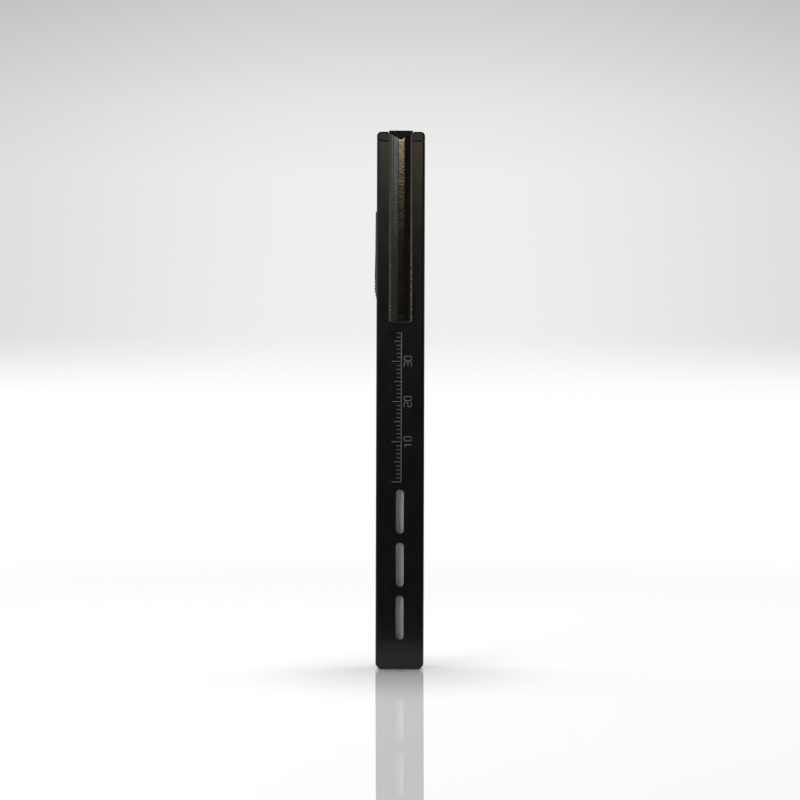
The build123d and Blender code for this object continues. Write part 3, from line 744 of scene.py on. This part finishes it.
def ink_stroke(solid, start, end, line):
    """Adds a straight ink stroke with rounded ends, between two (x, z) points on the casing's front."""
    vertices, faces = solid
    along = Vector(end) - Vector(start)
    turn = math.atan2(along.y, along.x)
    outline = []
    for place, lean in ((end, -math.pi / 2), (start, math.pi / 2)):
        for step in range(INK_END_STEPS + 1):
            angle = turn + lean + math.pi * step / INK_END_STEPS
            outline.append((place[0], place[1], math.cos(angle), math.sin(angle)))
    rings = ((INK_SUNK, 1.0), (-INK_PROUD * INK_SHOULDER_SHARE, 1.0), (-INK_PROUD, INK_TOP_SHARE))
    base = len(vertices)
    count = len(outline)
    for depth, width in rings:
        half = line / 2 * width
        for x, z, out_x, out_z in outline:
            vertices.append((x + out_x * half, front_y + depth, z + out_z * half))
    for ring in range(len(rings) - 1):
        for i in range(count):
            j = (i + 1) % count
            low, high = base + ring * count, base + (ring + 1) * count
            faces.append((low + i, low + j, high + j, high + i))
    faces.append(tuple(base + i for i in reversed(range(count))))
    faces.append(tuple(base + (len(rings) - 1) * count + i for i in range(count)))


def make_print():
    """Ticks every millimetre left of a long line, and 10, 20, 30 beside it, read from the right."""
    solid = ([], [])
    top, bottom = pixel_z(PRINT_TOP_ROW), pixel_z(PRINT_BOTTOM_ROW)
    spine = pixel_x(SPINE_COLUMN)
    for step in range(int((top - bottom) / MM) + 1):
        z = bottom + step * MM
        length = TICK_LONG if step % 10 == 0 else TICK_MIDDLE if step % 5 == 0 else TICK_SHORT
        ink_stroke(solid, (spine - length, z), (spine - TICK_TO_SPINE, z), INK_LINE)
    ink_stroke(solid, (spine, bottom - SPINE_PAST_END), (spine, top), SPINE_LINE)
    digit_x = spine + SPINE_TO_DIGIT
    for number in ("10", "20", "30"):
        z = bottom + int(number) * MM - DIGIT_WIDTH - DIGIT_GAP / 2
        for digit in number:
            for stroke in DIGIT_STROKES[digit]:
                ends = [(digit_x + (2 - v) / 2 * DIGIT_HEIGHT, z + u * DIGIT_WIDTH) for u, v in stroke]
                ink_stroke(solid, *ends, DIGIT_LINE)
            z += DIGIT_WIDTH + DIGIT_GAP
    new_piece("scale_print", *solid, ink, "barrel")


make_print()


# The camera, level with the middle of the object

SENSOR_MM = 36.0
CAMERA_DISTANCE = 0.55
CAMERA_ROLL_DEG = -0.18
CAMERA_NEAR, CAMERA_FAR = 0.01, 200.0


def make_camera():
    data = bpy.data.cameras.new("camera")
    data.sensor_width = SENSOR_MM
    frame_width = FRAME_PIXELS * MM_PER_PIXEL * MM
    data.lens = SENSOR_MM * CAMERA_DISTANCE / frame_width
    data.clip_start = CAMERA_NEAR
    data.clip_end = CAMERA_FAR
    camera = bpy.data.objects.new("camera", data)
    middle = FRAME_PIXELS / 2
    camera.location = (pixel_x(middle), front_y - CAMERA_DISTANCE, pixel_z(middle))
    camera.rotation_euler = (math.pi / 2, math.radians(CAMERA_ROLL_DEG), 0)
    bpy.context.scene.collection.objects.link(camera)
    bpy.context.scene.camera = camera


# The floor, its distances measured from the object's foot

FLOOR_HALF_SIDE = 60.0
FLOOR_BELOW = 0.02 * MM
FLOOR_COLOUR = (0.95, 0.95, 0.945, 1)
FLOOR_MIRROR = 0.46
FLOOR_MIRROR_ROUGHNESS = 0.008
FLOOR_LIT_TO = 160 * MM
FLOOR_WHITE_FROM = 420 * MM
# Painted shadow round the foot: the camera's glow fades out towards a spot ahead of the foot, narrower
# sideways
SHADE_RADIUS = 57 * MM
SHADE_AHEAD = 12 * MM
SHADE_NARROWER = 1.32
CAMERA_GLOW = 0.19
# Painted reflection: near the foot the floor glows for gloss alone, which brightens the casing's nose in
# its gloss
GLOSS_GLOW = 0.70
GLOSS_GLOW_FADE = (5 * MM, 66 * MM)
# Painted dark reflection: in front, the floor turns dark to gloss alone
DARK_REFLECTION_COLOUR = (0.02, 0.02, 0.02, 1)
DARK_REFLECTION_FROM_Y = -58 * MM
DARK_REFLECTION_FULL_Y = -74 * MM


def floor_white():
    """White gloss that turns plain white further out.

    To the camera it glows a little, less round the foot, which paints a shadow there. To the object's gloss
    it glows white near the foot, a painted reflection, and further in front it is dark, a painted dark
    reflection."""
    material = bpy.data.materials.new("floor_white")
    material.use_nodes = True
    nodes = Nodes(material.node_tree)
    place = nodes.add("TexCoord").outputs["Object"]
    ray = nodes.add("LightPath").outputs
    from_foot = nodes.length(place)

    diffuse = nodes.add("BsdfDiffuse")
    diffuse.inputs["Color"].default_value = FLOOR_COLOUR
    mirror = nodes.add("BsdfGlossy")
    mirror.inputs["Roughness"].default_value = FLOOR_MIRROR_ROUGHNESS
    mirror.inputs["Color"].default_value = (1, 1, 1, 1)
    gloss = nodes.blend(FLOOR_MIRROR, diffuse.outputs[0], mirror.outputs[0])

    # Painted shadow: less glow to the camera round a spot just ahead of the foot
    shade = nodes.add("Mapping")
    shade.inputs["Location"].default_value = (0, SHADE_AHEAD, 0)
    shade.inputs["Scale"].default_value = (SHADE_NARROWER, 1, 1)
    nodes.link(place, shade.inputs["Vector"])
    from_shade = nodes.length(shade.outputs["Vector"])
    seen = nodes.ramp(from_shade, 0.0, CAMERA_GLOW, 0.0, SHADE_RADIUS)
    seen = nodes.product(seen, ray["Is Camera Ray"])
    # Painted reflection: a glow near the foot that only gloss sees
    mirrored = nodes.ramp(from_foot, GLOSS_GLOW, 0.0, *GLOSS_GLOW_FADE, smooth=False)
    mirrored = nodes.product(mirrored, ray["Is Glossy Ray"])
    glow = nodes.add("Emission")
    nodes.link(nodes.math("ADD", seen, mirrored), glow.inputs["Strength"])
    near = nodes.add("AddShader")
    nodes.link(gloss, near.inputs[0])
    nodes.link(glow.outputs[0], near.inputs[1])

    white = nodes.add("Emission")
    is_far = nodes.ramp(from_foot, 0.0, 1.0, FLOOR_LIT_TO, FLOOR_WHITE_FROM)
    is_far = nodes.product(is_far, ray["Is Camera Ray"])
    lit = nodes.blend(is_far, near.outputs[0], white.outputs[0])
    # Painted dark reflection: further in front, gloss sees a near-black floor
    dark_reflection = nodes.add("BsdfDiffuse")
    dark_reflection.inputs["Color"].default_value = DARK_REFLECTION_COLOUR
    in_dark_reflection = nodes.ramp(nodes.axes(place)[1], 1.0, 0.0, DARK_REFLECTION_FULL_Y, DARK_REFLECTION_FROM_Y)
    in_dark_reflection = nodes.product(in_dark_reflection, ray["Is Glossy Ray"])
    lit = nodes.blend(in_dark_reflection, lit, dark_reflection.outputs[0])
    nodes.link(lit, nodes.add("OutputMaterial").inputs["Surface"])
    return material


def make_floor():
    """A flat floor that mirrors the object and keeps its shadow."""
    side = FLOOR_HALF_SIDE
    mesh = bpy.data.meshes.new("floor")
    corners = [(-side, -side, 0), (side, -side, 0), (side, side, 0), (-side, side, 0)]
    mesh.from_pydata(corners, [], [(0, 1, 2, 3)])
    mesh.materials.append(floor_white())
    floor = bpy.data.objects.new("floor", mesh)
    floor.location.z = -FLOOR_BELOW
    floor.rotation_euler.y = math.radians(CAMERA_ROLL_DEG)
    bpy.context.scene.collection.objects.link(floor)
    return floor


# The world: each stop of the backdrop is a height of the ray's direction and the grey it has there

BACKDROP_STOPS = (
    (0.0, 1.0), (0.008, 0.98), (0.029, 0.865), (0.10, 0.86), (0.13, 0.80), (0.18, 0.62), (0.45, 0.52),
)
BACKDROP_BLUE = 0.995
BACKDROP_SIDE_DARKER = 0.20
BACKDROP_SIDE_FADE = (0.02, 0.26)
BACKDROP_SIDE_RISE = (0.0, 0.03)
AMBIENT = (0.12, 0.122, 0.125, 1)

# What gloss shows in its place: levels, and the parts of the ray's direction they change between
BEHIND_LEVEL = 0.95
BEHIND_FADE = (-0.50, 0.10)
LEFT_LEVEL = 0.17
FRONT_LEVEL = 0.03
LEFT_FADE = (-0.50, -0.28)
OVERHEAD_SHARE = 0.06
OVERHEAD_FADE = (0.40, 0.75)


def backdrop_level(nodes, direction):
    """The pale backdrop: white at the horizon, greyer upwards and to the sides."""
    rise = nodes.add("ValToRGB")
    nodes.link(direction[2], rise.inputs["Fac"])
    while len(rise.color_ramp.elements) < len(BACKDROP_STOPS):
        rise.color_ramp.elements.new(1.0)
    for element, (place, level) in zip(rise.color_ramp.elements, BACKDROP_STOPS):
        element.position = place
        element.color = (level, level, level * BACKDROP_BLUE, 1)
    sideways = nodes.math("ABSOLUTE", direction[0])
    side = nodes.ramp(sideways, 0.0, BACKDROP_SIDE_DARKER, *BACKDROP_SIDE_FADE)
    above = nodes.mask(direction[2], *BACKDROP_SIDE_RISE)
    level = nodes.math("SUBTRACT", 1.0, nodes.product(side, above))
    seen = nodes.add("VectorMath")
    seen.operation = "SCALE"
    nodes.link(rise.outputs["Color"], seen.inputs[0])
    nodes.link(level, seen.inputs["Scale"])
    return seen.outputs[0]


def room_level(nodes, direction):
    """The white backdrop behind the object, a dark room in front, dim on the left, little overhead."""
    behind = nodes.ramp(direction[1], 0.0, BEHIND_LEVEL, *BEHIND_FADE)
    room = nodes.ramp(direction[0], LEFT_LEVEL, FRONT_LEVEL, *LEFT_FADE)
    lower = nodes.ramp(direction[2], 1.0, OVERHEAD_SHARE, *OVERHEAD_FADE)
    return nodes.product(nodes.math("MAXIMUM", behind, room), lower)


def make_world():
    """A pale backdrop for the camera, its like for gloss, and even ambient light for everything else."""
    world = bpy.data.worlds.new("studio")
    bpy.context.scene.world = world
    world.use_nodes = True
    nodes = Nodes(world.node_tree)
    direction = nodes.axes(nodes.add("TexCoord").outputs["Generated"])
    backdrop, mirrored, ambient = (nodes.add("Background") for _ in range(3))
    nodes.link(backdrop_level(nodes, direction), backdrop.inputs["Color"])
    nodes.link(room_level(nodes, direction), mirrored.inputs["Color"])
    ambient.inputs["Color"].default_value = AMBIENT
    ray = nodes.add("LightPath").outputs
    indirect = nodes.blend(ray["Is Glossy Ray"], ambient.outputs[0], mirrored.outputs[0])
    final = nodes.blend(ray["Is Camera Ray"], indirect, backdrop.outputs[0])
    nodes.link(final, nodes.add("OutputWorld").inputs["Surface"])


# The lamps

WHITE = (1, 1, 1)
COOL_WHITE = (0.95, 0.98, 1.0)
SKY_BLUE = (0.56, 0.77, 1.0)
LAMP_YELLOW = (1.0, 0.84, 0.60)
CARD_FADE = 0.28


def soften(data):
    """Lets a lamp fade towards its edges."""
    data.use_nodes = True
    nodes = Nodes(data.node_tree)
    across, up, _ = nodes.axes(nodes.add("NewGeometry").outputs["Parametric"])
    fades = []
    for place in (across, up):
        from_edge = nodes.math("SUBTRACT", 0.5, nodes.distance(place, 0.5))
        fades.append(nodes.mask(from_edge, 0.0, CARD_FADE))
    glow = nodes.add("Emission")
    nodes.link(nodes.product(*fades), glow.inputs["Strength"])
    nodes.link(glow.outputs[0], nodes.add("OutputLight").inputs["Surface"])


def add_lamp(name, place, aim, size, radiance, colour=WHITE, lights=True, shines=True):
    """A soft box of a width and height at place that faces aim; a white wall has radiance 1.

    One that doesn't light is a card with soft edges, seen in the object's gloss alone and not in the
    floor's. One that doesn't shine is left out of all gloss."""
    data = bpy.data.lights.new(name, "AREA")
    data.shape = "RECTANGLE"
    data.size, data.size_y = size
    data.energy = radiance * math.pi * size[0] * size[1]
    data.color = colour
    lamp = bpy.data.objects.new(name, data)
    lamp.location = place
    lamp.rotation_euler = (Vector(aim) - Vector(place)).to_track_quat("-Z", "Y").to_euler()
    lamp.visible_camera = False
    lamp.visible_diffuse = lights
    lamp.visible_glossy = shines
    if not lights:
        soften(data)
        lamp.light_linking.receiver_collection = card_receivers
    bpy.context.scene.collection.objects.link(lamp)


make_camera()
card_receivers = bpy.data.collections.new("card_receivers")
card_receivers.objects.link(make_floor())
card_receivers.collection_objects[0].light_linking.link_state = "EXCLUDE"
make_world()
foot = (0, 0, 0)
clip_middle = (0, clip_low.y, (clip_low.z + clip_high.z) / 2)
add_lamp("top_box", (0, 0.15, 0.50), foot, (0.95, 0.30), 2.4, shines=False)
add_lamp("key", (-0.30, -0.30, 0.20), clip_middle, (0.30, 0.26), 3.2, COOL_WHITE, shines=False)
add_lamp("cool_window", (-0.250, -0.270, 0.25), clip_middle, (0.36, 0.26), 1.9, SKY_BLUE, lights=False)
add_lamp("warm_lamp", (0.022, -0.335, 0.237), clip_middle, (0.38, 0.19), 4.8, LAMP_YELLOW, lights=False)

view = bpy.context.scene.view_settings
view.view_transform = "Standard"
